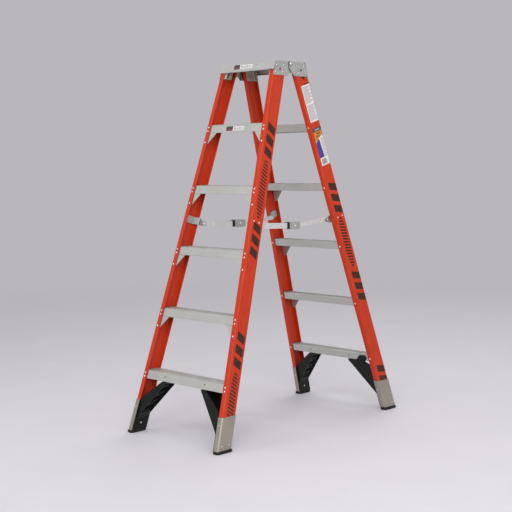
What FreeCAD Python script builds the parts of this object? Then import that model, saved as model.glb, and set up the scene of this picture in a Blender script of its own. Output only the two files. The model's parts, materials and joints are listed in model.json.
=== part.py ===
"""Twin step ladder: two identical five-step frames hinged at a split top platform.

Frame of the part, in millimetres: X runs across the steps, Y runs from the front frame to the
rear frame, Z is up, and the origin is on the floor in the middle of the four feet.

Each frame is designed flat, as a panel, and then leaned into place. In a panel, X runs across,
the second axis u is the depth behind the climbing face, and the third axis s runs up the rails.
"""
import FreeCAD, Part
import math
import os

Vector = FreeCAD.Vector

# ---- driving dimensions -------------------------------------------------------------------
STEP_PITCH = 304.8            # one foot along the rail
STEP_COUNT = 5
LEAN_PER_PITCH = 88.9         # the frames lean 3.5 inches for each foot of rail
REACH = 635.0                 # from the middle to the climbing face, at the floor
HALF_WIDTH = 311.15           # from the middle to the outside of a rail, at the floor
SIDE_TAPER = 0.07349          # how much a rail comes inwards for each unit of its length

RAIL_DEPTH = 78.0
RAIL_FLANGE = 25.5
RAIL_WALL = 5.0
RAIL_CORNER = 5.0

STEP_WALL = 2.6
STEP_LIP_FRONT = 40.0
STEP_LIP_INNER = 38.0
STEP_TOP_RISE = 3.0           # the tread's height over the pitch line
TREAD_RIB_HEIGHT = 1.0
TREAD_RIB_SPACING = 7.5

TOP_HEIGHT = 1753.0
TOP_SKIN = 3.0
TOP_HALF_LENGTH = 177.0
APRON_PROUD = 7.0
APRON_HEIGHT = 40.0
APRON_HALF_LENGTH = 181.0
HINGE_HEIGHT = 1742.0
HINGE_PLATE = 3.0
HINGE_PLATE_BOTTOM = 1685.0
HINGE_EAR_REACH = 10.5        # how far a plate's ear passes the middle
HINGE_EAR_BOTTOM = 1718.5
HINGE_PLATE_HEEL = -21.0      # y where a plate's slanted edge meets its bottom
LAP_GAP = 1.0                 # between the hinge plates where one passes over the other
HINGE_PIN_RADIUS = 4.5

BOOT_WALL = 3.0
BOOT_TOP = 156.5
PAD_HEIGHT = 13.0

PAD_PROUD = 3.5               # how far the pad bulges beyond the boot
PAD_CHAMFER = 4.0

BRACE_TOP = 252.5
BRACE_WALL = 3.8
BRACE_COVER = 2.8             # thickness of the brace over the edges of the rail's flanges

SPREADER_MIDDLE = 187.0       # each spreader lies this far from the ladder's middle plane
FRONT_PIVOT = (-240.0, 983.0)     # y, z
CENTRE_PIVOT = (4.0, 974.0)       # below the line of the other two, so the spreader locks
REAR_PIVOT = (240.0, 991.0)
SPREADER_PIN_RADIUS = 4.0

RUNNING = 0.06                # radial clearance of a pin in its hole
FIT = 0.15                    # gap between sheets that lie on each other
CORNER_GAP = 2.2              # keeps square ends clear of the rail's inner rounding

# ---- what follows from them ---------------------------------------------------------------
LEAN = math.asin(LEAN_PER_PITCH / STEP_PITCH)
COS = math.cos(LEAN)
SIN = math.sin(LEAN)
TAN = math.tan(LEAN)
STEP_RISE = STEP_PITCH * COS
FAR = 2000.0                  # longer than anything in the ladder

os.makedirs("parts", exist_ok=True)


# ---- drawing ------------------------------------------------------------------------------
def outline(corners, to_space):
    """Closed face through (a, b) or (a, b, radius) corners, placed by to_space(a, b)."""
    starts = []
    middles = []
    ends = []
    count = len(corners)
    for i, corner in enumerate(corners):
        point = Vector(corner[0], corner[1], 0)
        radius = corner[2] if len(corner) == 3 else 0
        if not radius:
            starts.append(point)
            middles.append(None)
            ends.append(point)
            continue
        before = Vector(corners[i - 1][0], corners[i - 1][1], 0) - point
        after_corner = corners[(i + 1) % count]
        after = Vector(after_corner[0], after_corner[1], 0) - point
        half = before.getAngle(after) / 2
        before.normalize()
        after.normalize()
        inward = before + after
        inward.normalize()
        setback = radius / math.tan(half)
        starts.append(point + before * setback)
        middles.append(point + inward * (radius / math.sin(half) - radius))
        ends.append(point + after * setback)
    edges = []
    for i in range(count):
        if middles[i] is not None:
            arc = [to_space(p.x, p.y) for p in (starts[i], middles[i], ends[i])]
            edges.append(Part.Arc(*arc).toShape())
        following = starts[(i + 1) % count]
        if (following - ends[i]).Length > 1e-6:
            line = [to_space(p.x, p.y) for p in (ends[i], following)]
            edges.append(Part.LineSegment(*line).toShape())
    return Part.Face(Part.Wire(Part.__sortEdges__(edges)))


def across_plate(corners, u_low, u_high):
    """Plate parallel to the climbing face. Corners are (x, s)."""
    face = outline(corners, lambda x, s: Vector(x, u_low, s))
    return face.extrude(Vector(0, u_high - u_low, 0))


def side_plate(corners, x_low, x_high):
    """Plate square to X. Corners are (u, s)."""
    face = outline(corners, lambda u, s: Vector(x_low, u, s))
    return face.extrude(Vector(x_high - x_low, 0, 0))


def tapered_bar(corners, s_low, s_high):
    """Bar that follows the right rail's taper. Corners are (distance from the web, u)."""
    shift = half_width(s_low)
    face = outline(corners, lambda a, u: Vector(shift + a, u, s_low))
    return face.extrude(Vector(half_width(s_high) - shift, 0, s_high - s_low))


def turned(points, axis_point, axis):
    """Solid of revolution from (distance along axis, radius) points around an axis."""
    side = Vector(0, 0, 1) if abs(axis.z) < 0.9 else Vector(1, 0, 0)
    radial = axis.cross(side)
    radial.normalize()
    wire = Part.makePolygon([axis_point + axis * a + radial * r for a, r in points + points[:1]])
    return Part.Face(wire).revolve(axis_point, axis, 360)


def box(x_low, x_high, y_low, y_high, z_low, z_high):
    size = (x_high - x_low, y_high - y_low, z_high - z_low)
    return Part.makeBox(*size, Vector(x_low, y_low, z_low))


def cylinder(point, axis, length, radius):
    return Part.makeCylinder(radius, length, point, axis)


def fused(shapes):
    result = shapes[0]
    if len(shapes) > 1:
        result = shapes[0].multiFuse(shapes[1:])
    return result.removeSplitter()


def other_side(shape):
    """The same shape on the left of the ladder."""
    return shape.mirror(Vector(0, 0, 0), Vector(1, 0, 0))


def to_rear(shape):
    return shape.mirror(Vector(0, 0, 0), Vector(0, 1, 0))


def stand(shape):
    """Lean a panel shape into the front frame."""
    shape = shape.copy()
    shape.rotate(Vector(0, 0, 0), Vector(1, 0, 0), -math.degrees(LEAN))
    shape.translate(Vector(0, -REACH, 0))
    return shape


def half_width(s):
    """From the middle to the outside of a rail's web, at s along the rail."""
    return HALF_WIDTH - SIDE_TAPER * s


def panel(y, z):
    """(u, s) in the front panel of a point of the leaned ladder."""
    return ((y + REACH) * COS - z * SIN, (y + REACH) * SIN + z * COS)


def rail_s(z, u=0.0):
    """Where along the rail the height z lies, at depth u."""
    return (z + u * SIN) / COS


def web_layer(low, high):
    """All points of the right side between two distances outside the rail's web."""
    s_low = rail_s(800.0)
    s_high = rail_s(1900.0)
    corners = [
        (half_width(s_low) + low, s_low),
        (half_width(s_low) + high, s_low),
        (half_width(s_high) + high, s_high),
        (half_width(s_high) + low, s_high),
    ]
    return across_plate(corners, -300.0, 600.0)


# ---- rivets -------------------------------------------------------------------------------
def rivet(point, axis, grip, head_radius=4.6, head_height=2.4, shank_radius=2.4):
    """Domed head outside `point`, shank along -axis through `grip`, and a closed tail."""
    dome = []
    steps = 5
    for i in range(steps + 1):
        angle = math.pi / 2 * i / steps
        dome.append((head_height * math.sin(angle), head_radius * math.cos(angle)))
    dome[-1] = (head_height, 0.0)
    tail = [
        (-grip - 1.6, 0.0),
        (-grip - 1.6, shank_radius + 0.6),
        (-grip, shank_radius + 1.2),
        (-grip, shank_radius),
        (0.0, shank_radius),
    ]
    return turned(tail + dome, point, axis)


OUT_FRONT = Vector(0, -1, 0)
OUT_INNER = Vector(0, 1, 0)
# square to the right rail's web, outwards
OUT_WEB = Vector(1, 0, SIDE_TAPER)
OUT_WEB.normalize()


def both_sides(shapes):
    return shapes + [other_side(shape) for shape in shapes]


# ---- rails --------------------------------------------------------------------------------
def rail():
    """Fibreglass channel, its flanges turned towards the steps. Right side."""
    corners = [
        (0, 0, RAIL_CORNER),
        (-RAIL_FLANGE, 0, 1.5),
        (-RAIL_FLANGE, RAIL_WALL, 1.5),
        (-RAIL_WALL, RAIL_WALL, 2.0),
        (-RAIL_WALL, RAIL_DEPTH - RAIL_WALL, 2.0),
        (-RAIL_FLANGE, RAIL_DEPTH - RAIL_WALL, 1.5),
        (-RAIL_FLANGE, RAIL_DEPTH, 1.5),
        (0, RAIL_DEPTH, RAIL_CORNER),
    ]
    whole = stand(tapered_bar(corners, -60.0, rail_s(TOP_HEIGHT) + 60.0))
    bottom = PAD_HEIGHT + BOOT_WALL + FIT
    top = TOP_HEIGHT - TOP_SKIN - 1.0
    return whole.common(box(0, FAR, -FAR, FAR, bottom, top))


# ---- steps --------------------------------------------------------------------------------
STEP_FRONT = RAIL_WALL + 0.05
STEP_BACK = RAIL_DEPTH - RAIL_WALL - 0.05


def tread_s(number, u):
    """Height of a tread's flat surface in the panel; the tread is level once leaned."""
    return rail_s(number * STEP_RISE + STEP_TOP_RISE, u)


def ribbed_line(number):
    """The tread's top line from back to front, with its traction ribs."""
    points = []
    half_base = 1.5
    half_crest = 0.8
    margin = 9.0
    count = int((STEP_BACK - STEP_FRONT - 2 * margin) / TREAD_RIB_SPACING) + 1
    middle = (STEP_FRONT + STEP_BACK) / 2
    for i in range(count):
        u = middle + (count - 1) * TREAD_RIB_SPACING / 2 - i * TREAD_RIB_SPACING
        points.append((u + half_base, tread_s(number, u + half_base)))
        points.append((u + half_crest, tread_s(number, u + half_crest) + TREAD_RIB_HEIGHT))
        points.append((u - half_crest, tread_s(number, u - half_crest) + TREAD_RIB_HEIGHT))
        points.append((u - half_base, tread_s(number, u - half_base)))
    return points


def step(number):
    """Folded aluminium tread with a lip behind each pair of rail flanges."""
    front = STEP_FRONT
    back = STEP_BACK
    wall = STEP_WALL
    front_bottom = tread_s(number, front) - STEP_LIP_FRONT
    back_bottom = tread_s(number, back) - STEP_LIP_INNER
    corners = [
        (front, front_bottom, 0.8),
        (front, tread_s(number, front), 3.5),
    ]
    corners += reversed(ribbed_line(number))
    corners += [
        (back, tread_s(number, back), 3.5),
        (back, back_bottom, 0.8),
        (back - wall, back_bottom, 0.8),
        (back - wall, tread_s(number, back - wall) - wall, 1.5),
        (front + wall, tread_s(number, front + wall) - wall, 1.5),
        (front + wall, front_bottom, 0.8),
    ]
    low = front_bottom - 20.0
    high = tread_s(number, back) + 20.0
    end_gap = RAIL_WALL + CORNER_GAP
    blank = [
        (-half_width(low) + end_gap, low),
        (half_width(low) - end_gap, low),
        (half_width(high) - end_gap, high),
        (-half_width(high) + end_gap, high),
    ]
    body = side_plate(corners, -HALF_WIDTH, HALF_WIDTH)
    return body.common(across_plate(blank, -5.0, RAIL_DEPTH + 5.0))


# distances of the fasteners down the rail from the step's pitch line
FRONT_RIVET_DROPS = (9.0, 27.0)
GUSSET_RIVET_DROP = 84.0
INNER_RIVET_DROP = -4.0
FLANGE_RIVET_INSET = 12.5
GUSSET_STEPS = range(2, STEP_COUNT + 1)
GUSSET_WALL = 2.5


def gusset(number):
    """Triangular knee plate under the step's end, on the front flange. Right side."""
    lip_bottom = tread_s(number, STEP_FRONT) - STEP_LIP_FRONT
    top = lip_bottom - 0.3
    tip = number * STEP_PITCH - GUSSET_RIVET_DROP - 9.0
    outer = RAIL_WALL + CORNER_GAP
    face = [
        (half_width(top) - outer, top),
        (half_width(top) - 71.0, top, 2.0),
        (half_width(tip) - RAIL_FLANGE - 2.0, tip + 4.0, 6.0),
        (half_width(tip) - RAIL_FLANGE + 6.0, tip, 4.0),
        (half_width(tip) - outer, tip),
    ]
    lip_back = STEP_FRONT + STEP_WALL + 0.05
    tab = [
        (half_width(top) - outer - 0.5, top - 12.0),
        (half_width(top) - 60.0, top - 12.0, 2.0),
        (half_width(top) - 66.0, lip_bottom + 24.0, 4.0),
        (half_width(top) - outer - 3.0, lip_bottom + 24.0),
    ]
    plates = [
        across_plate(face, STEP_FRONT, lip_back),
        across_plate(tab, lip_back, lip_back + GUSSET_WALL),
    ]
    return fused(plates)


def step_rivets():
    """Rivets that hold the steps and gussets to the right rail's flanges."""
    rivets = []
    lip = STEP_FRONT + STEP_WALL
    for number in range(1, STEP_COUNT + 1):
        line = number * STEP_PITCH
        with_gusset = number in GUSSET_STEPS
        for drop in FRONT_RIVET_DROPS:
            through_tab = with_gusset and drop == FRONT_RIVET_DROPS[-1]
            grip = lip + 0.05 + GUSSET_WALL if through_tab else lip
            x = half_width(line - drop) - FLANGE_RIVET_INSET
            rivets.append(rivet(Vector(x, 0, line - drop), OUT_FRONT, grip))
        if with_gusset:
            s = line - GUSSET_RIVET_DROP
            x = half_width(s) - FLANGE_RIVET_INSET
            rivets.append(rivet(Vector(x, 0, s), OUT_FRONT, lip + 0.05))
        s = line - INNER_RIVET_DROP
        x = half_width(s) - FLANGE_RIVET_INSET
        grip = RAIL_DEPTH - STEP_BACK + STEP_WALL
        rivets.append(rivet(Vector(x, RAIL_DEPTH, s), OUT_INNER, grip))
    return rivets


# ---- feet ---------------------------------------------------------------------------------
def boot():
    """Aluminium boot around the foot of the right rail, with a sole. In place."""
    gap = FIT
    out = BOOT_WALL + gap
    corner = RAIL_CORNER + out
    corners = [
        (out, -out, corner),
        (-RAIL_FLANGE, -out, 1.0),
        (-RAIL_FLANGE, -gap, 1.0),
        (gap, -gap, RAIL_CORNER + gap),
        (gap, RAIL_DEPTH + gap, RAIL_CORNER + gap),
        (-RAIL_FLANGE, RAIL_DEPTH + gap, 1.0),
        (-RAIL_FLANGE, RAIL_DEPTH + out, 1.0),
        (out, RAIL_DEPTH + out, corner),
    ]
    wrap = stand(tapered_bar(corners, -80.0, 400.0))
    filled = [
        (out, -out, corner),
        (-RAIL_FLANGE, -out, 1.0),
        (-RAIL_FLANGE, RAIL_DEPTH + out, 1.0),
        (out, RAIL_DEPTH + out, corner),
    ]
    sole = stand(tapered_bar(filled, -80.0, 400.0))
    sole_top = PAD_HEIGHT + BOOT_WALL
    wrap = wrap.common(box(0, FAR, -FAR, FAR, PAD_HEIGHT, BOOT_TOP))
    sole = sole.common(box(0, FAR, -FAR, FAR, PAD_HEIGHT, sole_top))
    return fused([wrap, sole])


def foot_pad():
    """Rubber pad under the right boot, proud of it, with a grooved tread. In place."""
    x_out = half_width(0) + BOOT_WALL + PAD_PROUD
    x_in = half_width(0) - RAIL_FLANGE - BRACE_COVER - PAD_PROUD
    y_out = -REACH + PAD_HEIGHT * TAN - (BOOT_WALL + PAD_PROUD) / COS
    y_in = y_out + (RAIL_DEPTH + 2 * BOOT_WALL + 2 * PAD_PROUD) / COS
    corners = [(x_out, y_out), (x_in, y_out), (x_in, y_in), (x_out, y_in)]
    centre = Vector((x_out + x_in) / 2, (y_out + y_in) / 2, 0)

    def layer(z, inset, radius):
        shrunk = []
        for x, y in corners:
            side_x = math.copysign(inset, x - centre.x)
            side_y = math.copysign(inset, y - centre.y)
            shrunk.append((x - side_x, y - side_y, radius))
        return outline(shrunk, lambda x, y: Vector(x, y, z)).OuterWire

    tread = Part.makeLoft([layer(0, PAD_CHAMFER, 9.0), layer(PAD_CHAMFER, 0, 12.0)], True)
    upper = Part.makeLoft([layer(PAD_CHAMFER, 0, 12.0), layer(PAD_HEIGHT, 1.5, 11.0)], True)
    pad = tread.fuse(upper)
    groove_pitch = 11.0
    groove = 3.0
    grooves = []
    y = y_out + groove_pitch
    while y < y_in - groove_pitch / 2:
        grooves.append(box(x_in - 1, x_out + 1, y - groove / 2, y + groove / 2, -1, 2.0))
        y += groove_pitch
    return pad.cut(grooves)


def level_block(corners, y_low, y_high):
    """Block with (x, z) corners, level along Y."""
    face = outline(corners, lambda x, z: Vector(x, y_low, z))
    return face.extrude(Vector(0, y_high - y_low, 0))


def depth_slab(u_low, u_high):
    """Everything of the leaned front frame between two depths."""
    return stand(box(-FAR, FAR, u_low, u_high, -FAR, FAR))


BRACE_FRONT = RAIL_WALL + 0.2
BRACE_BACK = RAIL_DEPTH - RAIL_WALL - 0.2
BRACE_BAND = 34.0             # width of the brace's flanges at its top
BRACE_TOE = 119.0             # x of the flanges' edge where it meets the step
BRACE_KNEE = (264.0, 88.0)    # x, z where that edge turns down along the rail
BRACE_ANKLE = (280.5, 60.0)
BRACE_SHOULDER = (280.0, 161.0)
BRACE_BOTTOM = PAD_HEIGHT + BOOT_WALL + 0.4
BRACE_RECESS = 9.0            # how far the slanted web lies behind the flanges' edge
BRACE_RIB = 2.4
BRACE_RIB_PITCH = 31.0
BRACE_RUN = Vector(BRACE_KNEE[0] - BRACE_TOE, 0, BRACE_KNEE[1] - BRACE_TOP)
BRACE_SLANT = BRACE_RUN.Length


def slanted(along, depth, *radius):
    """(x, z) at a length down the brace's slanted edge and a depth behind it."""
    across = BRACE_RUN.x / BRACE_SLANT
    down = BRACE_RUN.z / BRACE_SLANT
    x = BRACE_TOE + across * along - down * depth
    z = BRACE_TOP + down * along + across * depth
    return (x, z) + radius


def brace_ribs():
    """Zigzag stiffening ribs on the brace's slanted web, between its flanges."""
    ribs = []
    start = 14.0
    edge_low = BRACE_FRONT + BRACE_WALL - 0.5
    edge_high = BRACE_BACK - BRACE_WALL + 0.5
    while start + BRACE_RIB_PITCH < BRACE_SLANT - 8.0:
        finish = start + BRACE_RIB_PITCH
        ends = [(start, edge_low), (finish, edge_high)]
        if len(ribs) % 2:
            ends = [(start, edge_high), (finish, edge_low)]
        corners = []
        for depth in (1.5, BRACE_RECESS + 1.0):
            ring = []
            for (along, u), way in ((ends[0], -1), (ends[1], -1), (ends[1], 1), (ends[0], 1)):
                x, z = slanted(along + way * BRACE_RIB / 2, depth)
                ring.append(Vector(x, -REACH + z * TAN + u / COS, z))
            corners.append(Part.makePolygon(ring + ring[:1]))
        ribs.append(Part.makeLoft(corners, True))
        start = finish
    return ribs


def brace_covers():
    """Parts of the brace that lie over the edges of the rail's flanges, below the boot's top."""
    edge = BOOT_WALL + FIT
    section = [
        (-RAIL_FLANGE - 0.3, -edge, 0.5),
        (-RAIL_FLANGE - BRACE_COVER, -edge, 1.5),
        (-RAIL_FLANGE - BRACE_COVER, RAIL_DEPTH + edge, 1.5),
        (-RAIL_FLANGE - 0.3, RAIL_DEPTH + edge, 0.5),
    ]
    plate = stand(tapered_bar(section, -80.0, 400.0))
    plate = plate.common(box(0, FAR, -FAR, FAR, PAD_HEIGHT + 0.2, BOOT_TOP))
    window = box(-FAR, FAR, BRACE_FRONT + BRACE_WALL, BRACE_BACK - BRACE_WALL, -FAR, FAR)
    above_ankle = box(-FAR, FAR, -FAR, FAR, BRACE_ANKLE[1] + 6.0, FAR)
    return plate.cut(stand(window).common(above_ankle))


def brace(step_one_lip, has_lug):
    """Black diagonal channel from the bottom step to the foot. Right front corner."""
    inner_x = half_width(rail_s(BRACE_SHOULDER[1], RAIL_DEPTH)) - RAIL_WALL - CORNER_GAP
    foot_out = half_width(rail_s(BRACE_BOTTOM, RAIL_DEPTH)) - RAIL_WALL - CORNER_GAP
    foot_in = HALF_WIDTH - RAIL_FLANGE - 3.0
    outside = [
        (BRACE_TOE, BRACE_TOP),
        (BRACE_KNEE[0], BRACE_KNEE[1], 30.0),
        (BRACE_ANKLE[0], BRACE_ANKLE[1], 30.0),
        (foot_in, BRACE_BOTTOM),
        (foot_out, BRACE_BOTTOM),
        (inner_x, BRACE_SHOULDER[1]),
        (BRACE_SHOULDER[0], BRACE_SHOULDER[1]),
        (BRACE_TOE + BRACE_BAND, BRACE_TOP, 2.0),
    ]
    wall = BRACE_WALL
    hollow = [
        slanted(-12.0, BRACE_RECESS + wall),
        slanted(BRACE_SLANT - 4.0, BRACE_RECESS + wall, 12.0),
        (BRACE_ANKLE[0] + wall, BRACE_ANKLE[1] + 6.0, 12.0),
        (foot_in + wall, BRACE_BOTTOM - 5.0),
        (FAR, BRACE_BOTTOM - 5.0),
        (FAR, BRACE_TOP + 5.0),
    ]
    recess = [
        slanted(12.0, -20.0),
        slanted(12.0, BRACE_RECESS, 4.0),
        slanted(BRACE_SLANT - 12.0, BRACE_RECESS, 6.0),
        slanted(BRACE_SLANT + 2.0, -20.0),
    ]
    shell = level_block(outside, -FAR, 0).common(depth_slab(BRACE_FRONT, BRACE_BACK))
    between_flanges = depth_slab(BRACE_FRONT + wall, BRACE_BACK - wall)
    inside = [level_block(corners, -FAR, 0).common(between_flanges) for corners in (hollow, recess)]
    body = shell.cut(inside)
    tab_top = BRACE_TOP + 36.0
    tab = [
        (BRACE_TOE + 4.0, BRACE_TOP - 12.0),
        (BRACE_TOE + BRACE_BAND - 3.0, BRACE_TOP - 12.0),
        (BRACE_TOE + BRACE_BAND - 3.0, tab_top, 5.0),
        (BRACE_TOE + 4.0, tab_top, 5.0),
    ]
    pieces = [body, brace_covers()] + brace_ribs()
    front_lip = STEP_FRONT + STEP_WALL + 0.1
    inner_lip = STEP_BACK - STEP_WALL - 0.1
    for u_low in (front_lip, inner_lip - wall):
        pieces.append(level_block(tab, -FAR, 0).common(depth_slab(u_low, u_low + wall)))
    if has_lug:
        full_flange = [
            (BRACE_TOE + BRACE_BAND - 4.0, BRACE_TOP, 2.0),
            (232.0, BRACE_TOP, 3.0),
            (259.0, 241.0, 8.0),
            (266.0, 226.0, 6.0),
            (BRACE_SHOULDER[0] + 6.0, BRACE_SHOULDER[1] - 2.0),
            (BRACE_SHOULDER[0] - 12.0, BRACE_SHOULDER[1] - 10.0),
        ]
        back_slab = depth_slab(BRACE_BACK - wall, BRACE_BACK)
        pieces.append(level_block(full_flange, -FAR, 0).common(back_slab))
        lug = [
            (178.0, BRACE_TOP - 14.0, 6.0),
            (178.0, BRACE_TOP, 6.0),
            (207.0, 283.0, 10.0),
            (246.0, 284.0, 8.0),
            (247.0, 271.0, 8.0),
            (228.0, BRACE_TOP - 14.0, 8.0),
        ]
        neck = [(182.0, BRACE_TOP - 13.0), (182.0, BRACE_TOP - 2.0), (226.0, BRACE_TOP - 2.0),
                (226.0, BRACE_TOP - 13.0)]
        lug_low = RAIL_DEPTH - RAIL_WALL + 0.4
        lug_slab = depth_slab(lug_low, lug_low + 7.0)
        neck_slab = depth_slab(BRACE_BACK - 1.0, lug_low + 1.0)
        pieces.append(level_block(lug, -FAR, 0).common(lug_slab))
        pieces.append(level_block(neck, -FAR, 0).common(neck_slab))
    return fused(pieces).cut(step_one_lip)


def foot_rivets():
    """Rivets of the right boot and brace."""
    rivets = []
    boot_out = BOOT_WALL + FIT
    web_grip = boot_out + RAIL_WALL
    z = 34.0
    for u in (18.0, 60.0):
        s = rail_s(z, u)
        point = Vector(half_width(s), u, s) + OUT_WEB * boot_out
        rivets.append(rivet(point, OUT_WEB, web_grip, 3.8, 2.0))
    s = rail_s(122.0)
    x = half_width(s) - FLANGE_RIVET_INSET
    flange_grip = boot_out + RAIL_WALL + 0.2 + BRACE_WALL
    rivets.append(rivet(Vector(x, -boot_out, s), OUT_FRONT, flange_grip, 3.8, 2.0))
    s = rail_s(112.0, RAIL_DEPTH)
    x = half_width(s) - FLANGE_RIVET_INSET
    point = Vector(x, RAIL_DEPTH + boot_out, s)
    rivets.append(rivet(point, OUT_INNER, flange_grip, 3.8, 2.0))
    return rivets


def brace_rivets():
    """Rivets through the bottom step's lips and the brace's tabs, and one in its web."""
    rivets = []
    z = BRACE_TOP + 26.0
    x = BRACE_TOE + BRACE_BAND / 2
    grip = STEP_WALL + 0.1 + BRACE_WALL
    front = Vector(x, STEP_FRONT, rail_s(z))
    rivets.append(rivet(front, OUT_FRONT, grip, 3.2, 1.4, 1.8))
    inner = Vector(x - 5.0, STEP_BACK, rail_s(z, STEP_BACK))
    rivets.append(rivet(inner, OUT_INNER, grip, 3.2, 1.4, 1.8))
    s = rail_s(44.0, RAIL_DEPTH / 2)
    x = half_width(s) - RAIL_FLANGE - BRACE_COVER
    grip = BRACE_COVER + BRACE_WALL + 0.6
    rivets.append(rivet(Vector(x, RAIL_DEPTH / 2, s), OUT_WEB * -1.0, grip, 4.0, 1.8))
    return rivets


# ---- top ----------------------------------------------------------------------------------
def top_half():
    """One half of the platform: skin, front apron with returns, and hinge-side flange."""
    front_y = -(REACH - TOP_HEIGHT * TAN) - APRON_PROUD / COS
    hinge_gap = 0.8
    skin = box(-TOP_HALF_LENGTH, TOP_HALF_LENGTH, front_y + 3.0, -hinge_gap,
               TOP_HEIGHT - TOP_SKIN, TOP_HEIGHT)
    rib_pitch = 8.0
    ribs = []
    y = front_y + 12.0
    while y < -hinge_gap - rib_pitch:
        ribs.append(box(-TOP_HALF_LENGTH + 6.0, TOP_HALF_LENGTH - 6.0, y - 1.2, y + 1.2,
                        TOP_HEIGHT - 1.0, TOP_HEIGHT + 1.0))
        y += rib_pitch
    flange_length = TOP_HALF_LENGTH - 16.0
    hinge_flange = box(-flange_length, flange_length, -hinge_gap - 3.0, -hinge_gap,
                       HINGE_HEIGHT + 1.0, TOP_HEIGHT)
    s_top = rail_s(TOP_HEIGHT, -APRON_PROUD)
    s_low = s_top - APRON_HEIGHT / COS
    length = APRON_HALF_LENGTH
    apron_face = [(-length, s_low), (length, s_low), (length, s_top + 4.0),
                  (-length, s_top + 4.0)]
    apron = across_plate(apron_face, -APRON_PROUD, -APRON_PROUD + 3.2)
    hem = across_plate([(-length, s_low), (length, s_low), (length, s_low + 3.0),
                        (-length, s_low + 3.0)], -APRON_PROUD, -0.4)
    returns = []
    for x in (-length, length - 3.0):
        returns.append(box(x, x + 3.0, -APRON_PROUD, -0.6, s_low, s_top + 4.0))
    below_top = box(-FAR, FAR, -FAR, FAR, 0, TOP_HEIGHT)
    front = stand(fused([apron, hem] + returns)).common(below_top)
    shoulder = box(-length, length, front_y + 0.6, front_y + 6.4, TOP_HEIGHT - TOP_SKIN, TOP_HEIGHT)
    behind_apron = depth_slab(-APRON_PROUD, FAR)
    shoulder = shoulder.common(behind_apron)
    beyond_webs = both_sides([stand(web_layer(-1.2, FAR))])
    skin = skin.cut(beyond_webs)
    return fused([skin, hinge_flange, front, shoulder] + ribs)


TOP_BRACKET_INSET = RAIL_WALL + 0.3
TOP_BRACKET_WIDTH = 31.0
TOP_BRACKET_FRONT = 8.0
TOP_BRACKET_DEPTH = 25.0
TOP_BRACKET_WALL = 2.6


def top_bracket():
    """Channel across the top of the right rail, with a strap along the web. In place."""
    wall = TOP_BRACKET_WALL
    outer = -TOP_BRACKET_INSET
    inner = -TOP_BRACKET_INSET - TOP_BRACKET_WIDTH
    front = TOP_BRACKET_FRONT
    back = TOP_BRACKET_FRONT + TOP_BRACKET_DEPTH
    section = [
        (outer, front, 3.0),
        (inner, front, 1.0),
        (inner, front + wall, 1.0),
        (outer - wall, front + wall, 1.0),
        (outer - wall, back - wall, 1.0),
        (inner, back - wall, 1.0),
        (inner, back, 1.0),
        (outer - wall, back, 1.0),
        (outer - wall, RAIL_DEPTH - front, 1.0),
        (outer, RAIL_DEPTH - front, 1.0),
    ]
    s_low = rail_s(HINGE_PLATE_BOTTOM) - 40.0
    s_high = rail_s(TOP_HEIGHT) + 40.0
    channel = stand(tapered_bar(section, s_low, s_high))
    top = TOP_HEIGHT - TOP_SKIN - 0.6
    return channel.common(box(0, FAR, -FAR, FAR, HINGE_PLATE_BOTTOM - 1.0, top))


def hinge_plate_outline():
    """(u, s) corners of a hinge plate that ends in a round ear at the pin."""
    leaned = [
        (-(REACH - TOP_HEIGHT * TAN) + 0.6, TOP_HEIGHT, 2.0),
        (HINGE_EAR_REACH, TOP_HEIGHT, HINGE_EAR_REACH * 0.95),
        (HINGE_EAR_REACH, HINGE_EAR_BOTTOM, 4.0),
        (HINGE_PLATE_HEEL, HINGE_PLATE_BOTTOM, 4.0),
        (-(REACH - HINGE_PLATE_BOTTOM * TAN) + 0.6, HINGE_PLATE_BOTTOM, 3.0),
    ]
    return [panel(y, z) + (radius,) for y, z, radius in leaned]


HINGE_JOGGLE = -30.0          # where a lapping plate steps outwards over the other one
PLATE_HOLE_RADIUS = 5.5
PLATE_HOLE_HEIGHT = 1713.5
PLATE_RIVET_ROWS = (1733.0, 1700.5)
PLATE_RIVET_COLUMNS = (12.0, 59.0)


def beyond(y_low, y_high):
    """Everything of the part between two values of y, in panel position."""
    slab = box(-FAR, FAR, y_low, y_high, 0, FAR)
    slab.translate(Vector(0, REACH, 0))
    slab.rotate(Vector(0, 0, 0), Vector(1, 0, 0), math.degrees(LEAN))
    return slab


def plate_hole(radius):
    """Drilling in the middle of a hinge plate, in panel position."""
    hole_u, hole_s = panel(-(REACH - PLATE_HOLE_HEIGHT * TAN) + 38.0 / COS, PLATE_HOLE_HEIGHT)
    return cylinder(Vector(0, hole_u, hole_s), Vector(1, 0, 0), FAR, radius)


def hinge_plate_blank(lapped_over):
    """Hinge plate of the right side; a lapping one steps out over the other frame's."""
    blank = side_plate(hinge_plate_outline(), 0, FAR)
    layer = blank.common(web_layer(0.1, HINGE_PLATE))
    if lapped_over:
        lap_low = HINGE_PLATE + LAP_GAP
        lap_high = lap_low + HINGE_PLATE
        base = layer.common(beyond(-FAR, HINGE_JOGGLE + 4.0))
        tongue = blank.common(web_layer(lap_low, lap_high)).common(beyond(HINGE_JOGGLE, FAR))
        riser = blank.common(web_layer(0.1, lap_high))
        riser = riser.common(beyond(HINGE_JOGGLE, HINGE_JOGGLE + 4.0))
        layer = fused([base, tongue, riser])
    return layer.cut(plate_hole(PLATE_HOLE_RADIUS))


def hinge_hole(radius):
    u, s = panel(0.0, HINGE_HEIGHT)
    return cylinder(Vector(0, u, s), Vector(1, 0, 0), FAR, radius)


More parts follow.
